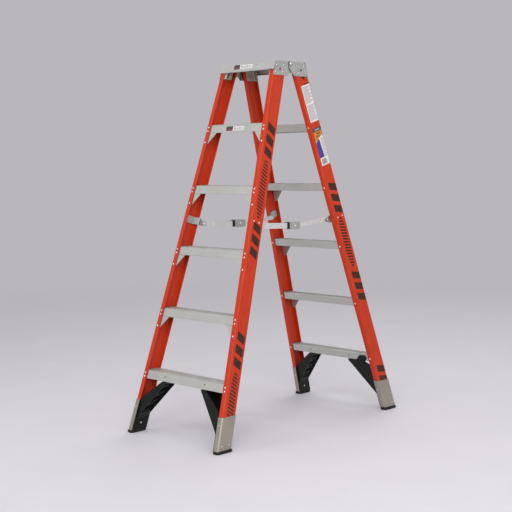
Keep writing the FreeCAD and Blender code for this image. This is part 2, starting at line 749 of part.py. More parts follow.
def plate_rivets():
    """Rivets through the right hinge plate, the web and the top bracket."""
    rivets = []
    grip = HINGE_PLATE + TOP_BRACKET_INSET + TOP_BRACKET_WALL
    for z in PLATE_RIVET_ROWS:
        for u in PLATE_RIVET_COLUMNS:
            depth = u if z == PLATE_RIVET_ROWS[0] else u - 1.5
            s = rail_s(z, depth)
            point = Vector(half_width(s), depth, s) + OUT_WEB * HINGE_PLATE
            rivets.append(rivet(point, OUT_WEB, grip, 4.4, 1.8))
    return rivets


def hinge_pin():
    """Headed pin of the right top hinge. In place."""
    web = half_width(panel(0.0, HINGE_HEIGHT)[1])
    lap_high = 2 * HINGE_PLATE + LAP_GAP
    inner_head = web - 4.4
    inner_face = web - 0.9
    outer_face = web + lap_high + 0.9
    outer_head = outer_face + 2.6
    radius = HINGE_PIN_RADIUS
    points = [
        (inner_head, 0.0),
        (inner_head, radius + 2.0),
        (inner_face, radius + 3.0),
        (inner_face, radius),
        (outer_face, radius),
        (outer_face, radius + 3.5),
        (outer_face + 1.4, radius + 3.0),
        (outer_head, radius),
        (outer_head, 0.0),
    ]
    return turned(points, Vector(0, 0, HINGE_HEIGHT), Vector(1, 0, 0))


# ---- spreaders ----------------------------------------------------------------------------
BRACKET_S = 1062.0
BRACKET_HEIGHT = 35.0
BRACKET_WALL = 3.0
BRACKET_RIVETS = (16.0, 50.0)
LINK_EAR_FACE = SPREADER_MIDDLE + 11.0
FRONT_LINK_WIDTH = 20.0
FRONT_LINK_HEIGHT = 26.0
REAR_LINK_WIDTH = 15.0
REAR_LINK_HEIGHT = 18.0
LINK_WALL = 2.0
CLEVIS_HEIGHT = 37.0
CLEVIS_WALL = 2.5
CLEVIS_BACK = 40.0            # how far the clevis reaches back along the front link
CLEVIS_FRONT = 33.0


def spreader_bracket(pivot):
    """Joggled steel strap from the right rail's web to the spreader's pivot."""
    pivot_u, pivot_s = panel(-abs(pivot[0]), pivot[1])
    low = BRACKET_S - BRACKET_HEIGHT / 2
    high = BRACKET_S + BRACKET_HEIGHT / 2
    web = half_width(BRACKET_S) - RAIL_WALL - 1.9
    wall = BRACKET_WALL
    ear = LINK_EAR_FACE
    start_u = RAIL_WALL + 4.0
    strap = [
        (start_u, web - wall, 1.0),
        (58.0, web - wall, 4.0),
        (70.0, ear, 6.0),
        (RAIL_DEPTH + 2.0, ear),
        (RAIL_DEPTH + 2.0, ear + wall),
        (71.5, ear + wall, 3.0),
        (59.5, web, 7.0),
        (start_u, web, 1.0),
    ]
    face = outline(strap, lambda u, x: Vector(x, u, low))
    body = face.extrude(Vector(0, 0, high - low))
    eye_radius = 12.0
    nose = [
        (RAIL_DEPTH - 1.0, low),
        (RAIL_DEPTH + 1.0, low),
        (pivot_u, pivot_s - eye_radius, 3.0),
        (pivot_u + eye_radius, pivot_s - eye_radius, eye_radius * 0.98),
        (pivot_u + eye_radius, pivot_s + eye_radius, eye_radius * 0.98),
        (pivot_u, pivot_s + eye_radius, 3.0),
        (RAIL_DEPTH + 1.0, high),
        (RAIL_DEPTH - 1.0, high),
    ]
    shim = [
        (half_width(low) - RAIL_WALL - 0.1, low),
        (half_width(high) - RAIL_WALL - 0.1, high),
        (web - 1.0, high),
        (web - 1.0, low),
    ]
    pieces = [
        body,
        side_plate(nose, ear, ear + wall),
        across_plate(shim, start_u, 56.0),
    ]
    return fused(pieces)


def bracket_rivets():
    rivets = []
    for u in BRACKET_RIVETS:
        point = Vector(half_width(BRACKET_S), u, BRACKET_S)
        rivets.append(rivet(point, OUT_WEB, RAIL_WALL + 4.6, 4.2, 2.2))
    return rivets


def x_pin(pivot, radius, faces):
    """Pin along X at a pivot from (x, radius) points; faces run from inside to outside."""
    points = [(faces[0][0], 0.0)] + [(x, r) for x, r in faces] + [(faces[-1][0], 0.0)]
    return turned(points, Vector(0, pivot[0], pivot[1]), Vector(1, 0, 0))


def front_pivot_pin():
    """Pin held in the right front bracket; the front link turns on it."""
    link_in = SPREADER_MIDDLE - FRONT_LINK_WIDTH / 2
    radius = SPREADER_PIN_RADIUS
    outer = LINK_EAR_FACE + BRACKET_WALL
    faces = [
        (link_in - 3.0, radius),
        (link_in - 2.2, radius + 2.6),
        (link_in - 0.4, radius + 3.4),
        (link_in - 0.4, radius),
        (outer, radius),
        (outer, radius + 2.2),
        (outer + 1.6, radius + 1.2),
    ]
    return x_pin(FRONT_PIVOT, radius, faces)


def rear_bracket_stud():
    """Stud in the right rear bracket's eye, flush with the eye on the link's side."""
    radius = SPREADER_PIN_RADIUS
    outer = LINK_EAR_FACE + BRACKET_WALL
    faces = [
        (LINK_EAR_FACE, radius),
        (outer, radius),
        (outer, radius + 2.2),
        (outer + 1.6, radius + 1.2),
    ]
    return x_pin(REAR_PIVOT, radius, faces)


def along_link(start, end):
    """Length of a link and a function that lays it from start to end."""
    run = Vector(0, end[0] - start[0], end[1] - start[1])
    angle = math.degrees(math.atan2(run.z, run.y))

    def lay(shape):
        shape = shape.copy()
        shape.rotate(Vector(0, 0, 0), Vector(1, 0, 0), angle)
        shape.translate(Vector(SPREADER_MIDDLE, start[0], start[1]))
        return shape

    return run.Length, lay


def channel_link(low, high, width, height, end_radius_low, end_radius_high):
    """Channel open below, along +Y from low to high, its walls rounded at the ends."""
    half = height / 2
    corners = [
        (low, -half, end_radius_low),
        (high, -half, end_radius_high),
        (high, half, end_radius_high),
        (low, half, end_radius_low),
    ]
    bar = side_plate(corners, -width / 2, width / 2)
    core = box(-width / 2 + LINK_WALL, width / 2 - LINK_WALL, low - 1, high + 1,
               -half - 1, half - LINK_WALL)
    return bar.cut(core)


def x_hole(y, radius):
    return cylinder(Vector(-50, y, 0), Vector(1, 0, 0), 100, radius)


FRONT_LINK_END = 16.0         # the front link's channel stops this far from the centre pin


def front_link():
    length, lay = along_link(FRONT_PIVOT, CENTRE_PIVOT)
    reach = FRONT_LINK_HEIGHT / 2 - 1.0
    link = channel_link(-reach, length - FRONT_LINK_END, FRONT_LINK_WIDTH,
                        FRONT_LINK_HEIGHT, reach * 0.9, 1.0)
    web_relief = box(-FRONT_LINK_WIDTH / 2 + LINK_WALL, FRONT_LINK_WIDTH / 2 - LINK_WALL,
                     -reach - 1, 9.0, 0, FRONT_LINK_HEIGHT)
    link = link.cut(web_relief)
    link = link.cut(x_hole(0, SPREADER_PIN_RADIUS + RUNNING))
    return lay(link)


def collar():
    """Black plastic band around the front link, next to the clevis."""
    length, lay = along_link(FRONT_PIVOT, CENTRE_PIVOT)
    low = length - CLEVIS_BACK - 13.0
    high = length - CLEVIS_BACK - 1.0
    width = FRONT_LINK_WIDTH / 2 + FIT
    height = FRONT_LINK_HEIGHT / 2 + FIT
    wall = 2.0
    section = [
        (width, -height),
        (width + wall, -height, 0.8),
        (width + wall, height + wall, 2.0),
        (-width - wall, height + wall, 2.0),
        (-width - wall, -height, 0.8),
        (-width, -height),
        (-width, height),
        (width, height),
    ]
    face = outline(section, lambda x, z: Vector(x, low, z))
    return lay(face.extrude(Vector(0, high - low, 0)))


def clevis():
    """Steel fork on the end of the front link that carries the centre pin."""
    length, lay = along_link(FRONT_PIVOT, CENTRE_PIVOT)
    half = CLEVIS_HEIGHT / 2
    inside = FRONT_LINK_WIDTH / 2 + FIT
    corners = [
        (length - CLEVIS_BACK, -half, 12.0),
        (length + CLEVIS_FRONT, -half, 13.0),
        (length + CLEVIS_FRONT, half, 3.0),
        (length - CLEVIS_BACK, half, 3.0),
    ]
    block = side_plate(corners, -inside - CLEVIS_WALL, inside + CLEVIS_WALL)
    mouth = box(-inside, inside, length - FRONT_LINK_END, length + 90, -half - 1, half + 1)
    slot = box(-inside, inside, length - 90, length + 90, -half - 1,
               FRONT_LINK_HEIGHT / 2 + FIT)
    block = block.cut([mouth, slot])
    for y in (length, length - FRONT_LINK_END - 12.0):
        block = block.cut(x_hole(y, SPREADER_PIN_RADIUS if y == length else 2.4))
    return lay(block)


def centre_pin():
    """Shouldered pin of the spreader's middle joint; it turns with the front link."""
    radius = SPREADER_PIN_RADIUS
    side = FRONT_LINK_WIDTH / 2 + FIT
    ear = side + CLEVIS_WALL
    shoulder = REAR_LINK_WIDTH / 2 + 0.4
    middle = SPREADER_MIDDLE
    faces = [
        (middle - ear - 1.8, radius),
        (middle - ear - 1.0, radius + 2.4),
        (middle - ear, radius + 3.0),
        (middle - ear, radius),
        (middle - side, radius),
        (middle - side, radius + 3.0),
        (middle - shoulder, radius + 3.0),
        (middle - shoulder, radius),
        (middle + shoulder, radius),
        (middle + shoulder, radius + 3.0),
        (middle + side, radius + 3.0),
        (middle + side, radius),
        (middle + ear, radius),
        (middle + ear, radius + 3.0),
        (middle + ear + 1.0, radius + 2.4),
        (middle + ear + 1.8, radius),
    ]
    return x_pin(CENTRE_PIVOT, radius, faces)


def rear_link():
    length, lay = along_link(CENTRE_PIVOT, REAR_PIVOT)
    reach = REAR_LINK_HEIGHT / 2 - 0.5
    link = channel_link(-reach, length + reach, REAR_LINK_WIDTH, REAR_LINK_HEIGHT,
                        reach * 0.9, reach * 0.9)
    link = link.cut(x_hole(0, SPREADER_PIN_RADIUS + RUNNING))
    link = link.cut(x_hole(length, SPREADER_PIN_RADIUS))
    return lay(link)


def rear_link_rivet():
    """Rivet in the free end of the rear link, clear of the bracket's eye."""
    side = REAR_LINK_WIDTH / 2
    radius = SPREADER_PIN_RADIUS
    middle = SPREADER_MIDDLE
    faces = [
        (middle - side - 2.0, radius),
        (middle - side - 1.2, radius + 2.2),
        (middle - side, radius + 2.8),
        (middle - side, radius),
        (middle + side, radius),
        (middle + side, radius + 2.0),
        (LINK_EAR_FACE - 0.4, radius + 2.0),
    ]
    return x_pin(REAR_PIVOT, radius, faces)


# ---- assembly -----------------------------------------------------------------------------
def without(piece, tools):
    """The piece with the rivets' own space drilled out of it."""
    near = [tool for tool in tools if tool.BoundBox.intersect(piece.BoundBox)]
    return piece.cut(near) if near else piece


def build_frame(prefix, finish, lapped_over, hinge_hole_radius, pivot, pivot_pin):
    """All nodes of one frame; finish() turns a front-frame shape into this frame's.

    The lapped-over frame has hinge plates that step outwards, and rails drilled behind them.
    """
    nodes = {}
    right_rail = rail()
    if lapped_over:
        right_rail = right_rail.cut(stand(plate_hole(PLATE_HOLE_RADIUS - 1.0)))
    rails = {"right": right_rail, "left": other_side(right_rail)}
    rivet_groups = {
        "step_rivets": [stand(r) for r in step_rivets()],
        "foot_rivets": [stand(r) for r in foot_rivets() + brace_rivets()],
        "top_rivets": [stand(r) for r in plate_rivets()],
        "spreader_rivets": [stand(r) for r in bracket_rivets()] + pivot_pin,
    }
    all_rivets = []
    for name, rivets in rivet_groups.items():
        rivet_groups[name] = both_sides(rivets)
        all_rivets += rivet_groups[name]
    steps = [stand(step(number)) for number in range(1, STEP_COUNT + 1)]
    braces = {"right": brace(steps[0], True), "left": other_side(brace(steps[0], False))}
    plate = hinge_plate_blank(lapped_over).cut(hinge_hole(hinge_hole_radius))
    singles = {
        "boot": boot(),
        "foot_pad": foot_pad(),
        "spreader_bracket": stand(spreader_bracket(pivot)),
    }
    pairs = {
        "gussets": [stand(gusset(number)) for number in GUSSET_STEPS],
        "top_brackets": [top_bracket()],
        "hinge_plates": [stand(plate)],
    }
    for side in ("right", "left"):
        nodes["rail_" + side] = without(rails[side], all_rivets)
        nodes["brace_" + side] = without(braces[side], all_rivets)
    for name, shape in singles.items():
        nodes[name + "_right"] = without(shape, all_rivets)
        nodes[name + "_left"] = without(other_side(shape), all_rivets)
    for name, shapes in pairs.items():
        both = both_sides(shapes)
        nodes[name] = Part.makeCompound([without(shape, all_rivets) for shape in both])
    for number, shape in enumerate(steps, 1):
        nodes["step_%d" % number] = without(shape, all_rivets)
    nodes["top"] = top_half()
    for name, rivets in rivet_groups.items():
        nodes[name] = Part.makeCompound(rivets)
    return {prefix + name: finish(shape) for name, shape in nodes.items()}


def keep(shape):
    return shape


def main():
    nodes = {}
    nodes.update(build_frame("front_", keep, False, HINGE_PIN_RADIUS,
                             FRONT_PIVOT, [front_pivot_pin()]))
    nodes.update(build_frame("rear_", to_rear, True, HINGE_PIN_RADIUS + RUNNING,
                             REAR_PIVOT, [to_rear(rear_bracket_stud())]))
    nodes["hinge_pins"] = Part.makeCompound(both_sides([hinge_pin()]))
    spreader = {
        "front_link": front_link(),
        "collar": collar(),
        "clevis": clevis(),
        "centre_pin": centre_pin(),
        "rear_link": rear_link(),
        "rear_link_rivet": rear_link_rivet(),
    }
    for name, shape in spreader.items():
        nodes["spreader_%s_right" % name] = shape
        nodes["spreader_%s_left" % name] = other_side(shape)
    for name, shape in nodes.items():
        if not shape.isValid() or not shape.Solids:
            print("INVALID", name)
        for solid in shape.Solids:
            if solid.Volume < 1.0:
                print("SLIVER", name, solid.Volume)
        shape.exportStep("parts/%s.step" % name)
    print(len(nodes), "nodes")


main()
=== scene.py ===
"""Looks of the twin step ladder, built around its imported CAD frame. Lengths are in metres."""

import json
import math
import random

import bmesh
import bpy
from mathutils import Matrix, Vector


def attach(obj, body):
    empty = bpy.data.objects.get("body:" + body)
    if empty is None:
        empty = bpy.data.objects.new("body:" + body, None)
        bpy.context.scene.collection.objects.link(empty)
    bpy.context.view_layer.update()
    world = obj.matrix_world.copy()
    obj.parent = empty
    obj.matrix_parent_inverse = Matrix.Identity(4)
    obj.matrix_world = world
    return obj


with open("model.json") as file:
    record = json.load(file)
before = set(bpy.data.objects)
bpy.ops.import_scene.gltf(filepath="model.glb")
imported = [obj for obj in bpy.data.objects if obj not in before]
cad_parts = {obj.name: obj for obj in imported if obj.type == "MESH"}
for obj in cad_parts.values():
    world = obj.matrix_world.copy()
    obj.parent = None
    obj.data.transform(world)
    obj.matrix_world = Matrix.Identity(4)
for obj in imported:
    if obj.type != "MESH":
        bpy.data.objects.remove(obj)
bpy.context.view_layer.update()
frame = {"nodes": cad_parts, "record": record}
nodes = frame["nodes"]
chance = random.Random(20)

MM = 0.001

# ---- the leaning panels that both frames are drawn in ---------------------------------------
STEP_PITCH = 0.3048      # between two steps, along the rail
STEP_SETBACK = 0.0889    # each step stands this much farther in than the one below
LEAN = math.asin(STEP_SETBACK / STEP_PITCH)
COS = math.cos(LEAN)
SIN = math.sin(LEAN)
REACH = 0.635            # from the hinge line to the climbing face, at the floor
HALF_WIDTH = 0.31115     # from the middle to the outside of a rail, at its foot
SIDE_TAPER = 0.07349     # how fast that shrinks up the rail
BOOT_TOP = 0.1565


def half_width(s):
    """From the middle to the outside of a rail's web, at s along the rail."""
    return HALF_WIDTH - SIDE_TAPER * s


def in_place(which, x, u, s):
    """A panel's point (x across, u deep, s up the rail) on the front or rear frame."""
    y = u * COS + s * SIN - REACH
    z = s * COS - u * SIN
    return Vector((x, y if which == "front" else -y, z))


def on_web(which, side, u, s, lift):
    """A point on the outside of a rail's web, lifted off it."""
    slope = math.hypot(1.0, SIDE_TAPER)
    x = half_width(s) + lift / slope
    return in_place(which, x if side == "right" else -x, u, s + lift * SIDE_TAPER / slope)


def on_face(which, depth, x, s, lift):
    """A point on a plate parallel to the climbing face, lifted off it towards a climber."""
    return in_place(which, x, depth - lift, s)


# ---- meshes ---------------------------------------------------------------------------------
def rounded(corners, radius, steps=4):
    """The outline with each corner replaced by a small arc."""
    points = []
    count = len(corners)
    for i, (a, b) in enumerate(corners):
        corner = Vector((a, b))
        before = Vector(corners[i - 1]) - corner
        after = Vector(corners[(i + 1) % count]) - corner
        reach = min(radius, before.length * 0.45, after.length * 0.45)
        start = corner + before.normalized() * reach
        end = corner + after.normalized() * reach
        for k in range(steps + 1):
            t = k / steps
            p = start * (1 - t) ** 2 + corner * 2 * t * (1 - t) + end * t ** 2
            points.append((p.x, p.y))
    return points


def clipped(outline, keep):
    """The part of an outline where keep(point) is above zero."""
    points = []
    for i, point in enumerate(outline):
        before = outline[i - 1]
        here = keep(point)
        there = keep(before)
        if (here > 0) != (there > 0):
            t = there / (there - here)
            points.append(tuple(p + (q - p) * t for p, q in zip(before, point)))
        if here > 0:
            points.append(point)
    return points


FILM_THICKNESS = 0.12 * MM
FILM_GAP = 0.02 * MM


def films(name, patches, place):
    """One object of thin closed films. Patches are (outline, material, level) and place
    turns an outline's point and a lift into a point of the ladder."""
    mesh = bpy.data.meshes.new(name)
    made = bmesh.new()
    materials = []
    for outline, material, level in patches:
        if len(outline) < 3:
            continue
        if material not in materials:
            materials.append(material)
        low = FILM_GAP + level * FILM_THICKNESS
        high = low + FILM_THICKNESS
        bottom = [made.verts.new(place(a, b, low)) for a, b in outline]
        top = [made.verts.new(place(a, b, high)) for a, b in outline]
        faces = [made.faces.new(bottom), made.faces.new(list(reversed(top)))]
        for i in range(len(outline)):
            faces.append(made.faces.new((bottom[i - 1], top[i - 1], top[i], bottom[i])))
        for face in faces:
            face.material_index = materials.index(material)
    bmesh.ops.recalc_face_normals(made, faces=made.faces)
    made.to_mesh(mesh)
    made.free()
    piece = bpy.data.objects.new(name, mesh)
    bpy.context.scene.collection.objects.link(piece)
    for material in materials:
        mesh.materials.append(material)
    return piece


# ---- materials ------------------------------------------------------------------------------
def linear(red, green, blue):
    """A colour as the eye names it, 0 to 255, turned into light."""
    return tuple(((v / 255 + 0.055) / 1.055) ** 2.4 for v in (red, green, blue)) + (1.0,)


class Finish:
    """A node material under construction."""

    def __init__(self, name, metallic=0.0, specular=0.5, coat=0.0, coat_roughness=0.2):
        self.material = bpy.data.materials.new(name)
        self.material.use_nodes = True
        self.tree = self.material.node_tree
        self.shader = self.tree.nodes["Principled BSDF"]
        self.shader.inputs["Metallic"].default_value = metallic
        self.shader.inputs["Specular IOR Level"].default_value = specular
        self.shader.inputs["Coat Weight"].default_value = coat
        self.shader.inputs["Coat Roughness"].default_value = coat_roughness
        self.place = self.node("ShaderNodeTexCoord").outputs["Object"]

    def node(self, kind, **settings):
        node = self.tree.nodes.new(kind)
        for key, value in settings.items():
            setattr(node, key, value)
        return node

    def feed(self, socket, value):
        """Link the socket to another one, or set it."""
        if isinstance(value, bpy.types.NodeSocket):
            self.tree.links.new(value, socket)
        else:
            socket.default_value = value

    def sum(self, operation, a, b=0.0):
        """A sum, product or the like of two values."""
        node = self.node("ShaderNodeMath", operation=operation)
        for socket, value in zip(node.inputs, (a, b)):
            self.feed(socket, value)
        return node.outputs[0]

    def panel_place(self):
        """(x, u, s) of the panels, the same for the front and the rear frame."""
        split = self.node("ShaderNodeSeparateXYZ")
        self.feed(split.inputs[0], self.place)
        run = self.sum("SUBTRACT", REACH, self.sum("ABSOLUTE", split.outputs[1]))
        height = split.outputs[2]
        u = self.sum("SUBTRACT", self.sum("MULTIPLY", run, COS),
                     self.sum("MULTIPLY", height, SIN))
        s = self.sum("ADD", self.sum("MULTIPLY", run, SIN),
                     self.sum("MULTIPLY", height, COS))
        join = self.node("ShaderNodeCombineXYZ")
        for socket, value in zip(join.inputs, (split.outputs[0], u, s)):
            self.feed(socket, value)
        return join.outputs[0]

    def stretched(self, place, x, y, z):
        node = self.node("ShaderNodeVectorMath", operation="MULTIPLY")
        self.feed(node.inputs[0], place)
        node.inputs[1].default_value = (x, y, z)
        return node.outputs[0]

    def noise(self, place, scale=1.0, detail=3.0, roughness=0.5, distortion=0.0):
        node = self.node("ShaderNodeTexNoise")
        self.feed(node.inputs["Vector"], place)
        for key, value in (("Scale", scale), ("Detail", detail),
                           ("Roughness", roughness), ("Distortion", distortion)):
            node.inputs[key].default_value = value
        return node.outputs["Fac"]

    def cells(self, place, scale):
        node = self.node("ShaderNodeTexVoronoi")
        self.feed(node.inputs["Vector"], place)
        node.inputs["Scale"].default_value = scale
        return node

    def level(self, value, from_low, from_high, to_low=0.0, to_high=1.0):
        """The value carried from one range to another, and held inside it."""
        node = self.node("ShaderNodeMapRange", clamp=True)
        for key, number in zip(node.inputs, (value, from_low, from_high, to_low, to_high)):
            self.feed(key, number)
        return node.outputs[0]

    def blend(self, share, a, b):
        """Colour a where the share is 0, and colour b where it is 1."""
        node = self.node("ShaderNodeMix", data_type="RGBA")
        self.feed(node.inputs[0], share)
        self.feed(node.inputs[6], a)
        self.feed(node.inputs[7], b)
        return node.outputs[2]

    def worn_edges(self, radius):
        """About 1 along edges sharper than the radius, 0 on flat parts."""
        soft = self.node("ShaderNodeBevel", samples=4)
        soft.inputs["Radius"].default_value = radius
        true = self.node("ShaderNodeNewGeometry")
        dot = self.node("ShaderNodeVectorMath", operation="DOT_PRODUCT")
        self.feed(dot.inputs[0], soft.outputs[0])
        self.feed(dot.inputs[1], true.outputs["Normal"])
        return self.level(dot.outputs["Value"], 0.98, 0.80)

    def painted_crevice_shade(self, distance, start=0.96, full=0.55):
        """Painted shade: a darkening where other surfaces stand close, where shade falls."""
        node = self.node("ShaderNodeAmbientOcclusion", samples=6)
        node.inputs["Distance"].default_value = distance
        return self.level(node.outputs["AO"], start, full, 0.0, 0.85)

    def bump(self, height, distance, strength=1.0, edge=0.0):
        """Raise the surface by a height, and round its edges by a radius."""
        node = self.node("ShaderNodeBump")
        node.inputs["Strength"].default_value = strength
        node.inputs["Distance"].default_value = distance
        self.feed(node.inputs["Height"], height)
        if edge:
            soft = self.node("ShaderNodeBevel", samples=4)
            soft.inputs["Radius"].default_value = edge
            self.feed(node.inputs["Normal"], soft.outputs[0])
        self.feed(self.shader.inputs["Normal"], node.outputs[0])

    def finish(self, colour, roughness):
        self.feed(self.shader.inputs["Base Color"], colour)
        self.feed(self.shader.inputs["Roughness"], roughness)
        return self.material


def fibreglass():
    """Pultruded orange-red fibreglass: rovings along the rail under a satin veil."""
    f = Finish("fibreglass", specular=0.24, coat=0.06, coat_roughness=0.28)
    place = f.panel_place()
    rovings = f.noise(f.stretched(place, 420, 420, 5), detail=4, roughness=0.6)
    veil = f.noise(place, scale=34, detail=5, roughness=0.62, distortion=0.6)
    broad = f.noise(f.stretched(place, 5, 9, 2.2), detail=2)
    tone = f.sum("ADD", f.sum("MULTIPLY", rovings, 0.55),
                 f.sum("ADD", f.sum("MULTIPLY", veil, 0.25), f.sum("MULTIPLY", broad, 0.30)))
    tone = f.level(tone, 0.34, 0.76)
    colour = f.blend(tone, linear(174, 42, 10), linear(200, 58, 20))
    streaks = f.noise(f.stretched(place, 190, 190, 1.8), detail=3, roughness=0.55)
    colour = f.blend(f.level(streaks, 0.56, 0.74, 0.0, 0.30), colour, linear(222, 104, 74))
    fibres = f.noise(f.stretched(place, 900, 900, 26), detail=2, roughness=0.7)
    colour = f.blend(f.level(fibres, 0.66, 0.80, 0.0, 0.22), colour, linear(226, 100, 62))
    specks = f.cells(f.stretched(place, 1, 1, 0.4), 190).outputs["Distance"]
    colour = f.blend(f.level(specks, 0.10, 0.04, 0.0, 0.35), colour, linear(120, 26, 10))
    scuffs = f.noise(f.stretched(place, 30, 60, 160), detail=6, roughness=0.75)
    worn = f.sum("MULTIPLY", f.worn_edges(1.1 * MM), f.level(scuffs, 0.45, 0.62))
    colour = f.blend(f.sum("MULTIPLY", worn, 0.45), colour, linear(228, 118, 82))
    # painted shade: dark brown where other surfaces stand close, in holes and at the steps' joints
    colour = f.blend(f.painted_crevice_shade(9 * MM, 0.60, 0.25), colour, linear(38, 12, 8))
    rough = f.sum("ADD", f.level(veil, 0.3, 0.7, 0.38, 0.50), f.sum("MULTIPLY", scuffs, 0.08))
    height = f.sum("ADD", f.sum("MULTIPLY", rovings, 0.6), f.sum("MULTIPLY", fibres, 0.4))
    f.bump(height, 0.16 * MM, strength=0.55, edge=0.7 * MM)
    return f.finish(colour, rough)


def drawn_aluminium(name, along, light, dark, roughness=(0.44, 0.60), edge=0.6 * MM):
    """Extruded or rolled aluminium with die lines along one direction."""
    f = Finish(name, metallic=0.74, specular=0.5)
    place = f.place if along == "x" else f.panel_place()
    scales = {"x": (6, 700, 700), "s": (520, 520, 9)}[along]
    lines = f.noise(f.stretched(place, *scales), detail=4, roughness=0.65)
    cloud = f.noise(place, scale=11, detail=4, roughness=0.6, distortion=0.4)
    spots = f.noise(place, scale=190, detail=3, roughness=0.7)
    tone = f.level(f.sum("ADD", f.sum("MULTIPLY", lines, 0.6), f.sum("MULTIPLY", cloud, 0.4)),
                   0.30, 0.72)
    colour = f.blend(tone, dark, light)
    colour = f.blend(f.level(spots, 0.60, 0.76, 0.0, 0.22), colour, linear(150, 148, 142))
    # painted shade: darker grey where other surfaces stand close
    colour = f.blend(f.painted_crevice_shade(4 * MM, 0.97, 0.62), colour, linear(60, 58, 55))
    scratch = f.noise(f.stretched(place, 90, 25, 520), detail=2, roughness=0.4)
    rough = f.sum("ADD", f.level(cloud, 0.3, 0.7, *roughness),
                  f.level(scratch, 0.62, 0.72, 0.0, 0.12))
    height = f.sum("ADD", f.sum("MULTIPLY", lines, 0.7), f.sum("MULTIPLY", scratch, 0.3))
    f.bump(height, 0.05 * MM, strength=0.4, edge=edge)
    return f.finish(colour, rough)


def zinc_plate(name, light, dark):
    """Zinc-plated pressed steel with a faint spangle."""
    f = Finish(name, metallic=0.74, specular=0.5)
    place = f.place
    spangle = f.cells(place, 420)
    shade = f.node("ShaderNodeSeparateColor")
    f.feed(shade.inputs[0], spangle.outputs["Color"])
    cloud = f.noise(place, scale=46, detail=5, roughness=0.65)
    tone = f.sum("ADD", f.sum("MULTIPLY", shade.outputs[0], 0.25),
                 f.sum("MULTIPLY", cloud, 0.75))
    colour = f.blend(f.level(tone, 0.25, 0.75), dark, light)
    stain = f.noise(place, scale=22, detail=5, roughness=0.65)
    colour = f.blend(f.level(stain, 0.58, 0.76, 0.0, 0.25), colour, linear(160, 158, 150))
    # painted shade: dark rings round rivets and in corners, where other surfaces stand close
    colour = f.blend(f.painted_crevice_shade(6 * MM, 0.98, 0.70), colour, linear(36, 34, 32))
    fine = f.noise(place, scale=900, detail=2)
    f.bump(f.sum("ADD", f.sum("MULTIPLY", fine, 0.5), cloud), 0.05 * MM, 0.4, edge=0.6 * MM)
    return f.finish(colour, f.level(tone, 0.2, 0.8, 0.54, 0.70))


def cast_bracket():
    """Tumbled grey casting, nearly matte, for the channels in the rails' tops."""
    f = Finish("cast_bracket", metallic=0.35, specular=0.4)
    cloud = f.noise(f.place, scale=60, detail=5, roughness=0.65)
    pits = f.cells(f.place, 700).outputs["Distance"]
    colour = f.blend(f.level(cloud, 0.3, 0.7), linear(176, 170, 156), linear(206, 201, 188))
    colour = f.blend(f.level(pits, 0.20, 0.05, 0.0, 0.4), colour, linear(120, 114, 104))
    f.bump(f.sum("ADD", cloud, f.sum("MULTIPLY", pits, 0.5)), 0.10 * MM, 0.5, edge=0.8 * MM)
    return f.finish(colour, f.level(cloud, 0.3, 0.7, 0.46, 0.60))


def rivet_head(name, painted_shade_above=None):
    """Set rivet heads: bright, with tool marks. Those above a height can be painted dark, as
    painted shade of hollows they sit in.
    """
    f = Finish(name, metallic=0.9, specular=0.7)
    cloud = f.noise(f.place, scale=260, detail=4, roughness=0.6)
    colour = f.blend(cloud, linear(214, 211, 202), linear(244, 241, 234))
    if painted_shade_above:
        # painted shade: heads above that height get a dark colour in place of their shade
        split = f.node("ShaderNodeSeparateXYZ")
        f.feed(split.inputs[0], f.place)
        painted_shade_share = f.level(split.outputs[2], painted_shade_above, painted_shade_above + MM)
        colour = f.blend(painted_shade_share, colour, linear(96, 92, 90))
    # painted shade: darker where other surfaces stand close, round the rivet's foot
    colour = f.blend(f.painted_crevice_shade(3 * MM), colour, linear(50, 46, 42))
    f.bump(f.noise(f.place, scale=1400, detail=2), 0.08 * MM, 0.6)
    return f.finish(colour, f.level(cloud, 0.3, 0.7, 0.20, 0.38))


def moulded_plastic():
    """Black glass-filled nylon with a fine spark texture and greyed edges."""
    f = Finish("black_plastic", specular=0.25)
    grain = f.noise(f.place, scale=1500, detail=3, roughness=0.6)
    flow = f.noise(f.stretched(f.place, 20, 14, 9), detail=5, roughness=0.6, distortion=0.9)
    colour = f.blend(f.level(flow, 0.35, 0.65), linear(9, 11, 10), linear(17, 20, 18))
    scuffs = f.noise(f.stretched(f.place, 90, 160, 60), detail=6, roughness=0.75)
    worn = f.sum("MULTIPLY", f.worn_edges(1.4 * MM), f.level(scuffs, 0.40, 0.60, 0.2, 1.0))
    colour = f.blend(f.sum("MULTIPLY", worn, 0.4), colour, linear(52, 56, 54))
    colour = f.blend(f.level(scuffs, 0.66, 0.78, 0.0, 0.3), colour, linear(40, 42, 40))
    f.bump(f.sum("ADD", grain, f.sum("MULTIPLY", flow, 0.4)), 0.12 * MM, 0.6, edge=0.9 * MM)
    return f.finish(colour, f.level(flow, 0.3, 0.7, 0.36, 0.52))


def rubber():
    """Matte black rubber, a little dusty."""
    f = Finish("foot_rubber", specular=0.3)
    grain = f.noise(f.place, scale=1100, detail=3, roughness=0.6)
    dust = f.noise(f.place, scale=60, detail=6, roughness=0.7)
    colour = f.blend(f.level(dust, 0.50, 0.75, 0.0, 0.7), linear(20, 20, 20), linear(62, 60, 56))
    f.bump(grain, 0.15 * MM, 0.7, edge=0.5 * MM)
    return f.finish(colour, f.level(dust, 0.3, 0.7, 0.62, 0.80))


def printed(name, colour, fade, flecks=0.14):
    """Ink or vinyl: an even colour with slight mottling and small flecks."""
    f = Finish(name, specular=0.25)
    place = f.panel_place()
    mottle = f.noise(place, scale=70, detail=5, roughness=0.6)
    tone = f.blend(f.level(mottle, 0.3, 0.7), colour, fade)
    dots = f.noise(f.stretched(place, 900, 900, 300), detail=2, roughness=0.5)
    tone = f.blend(f.level(dots, 0.60, 0.74, 0.0, flecks), tone, fade)
    f.bump(f.noise(place, scale=600, detail=3), 0.03 * MM, 0.4)
    return f.finish(tone, f.level(mottle, 0.3, 0.7, 0.42, 0.54))


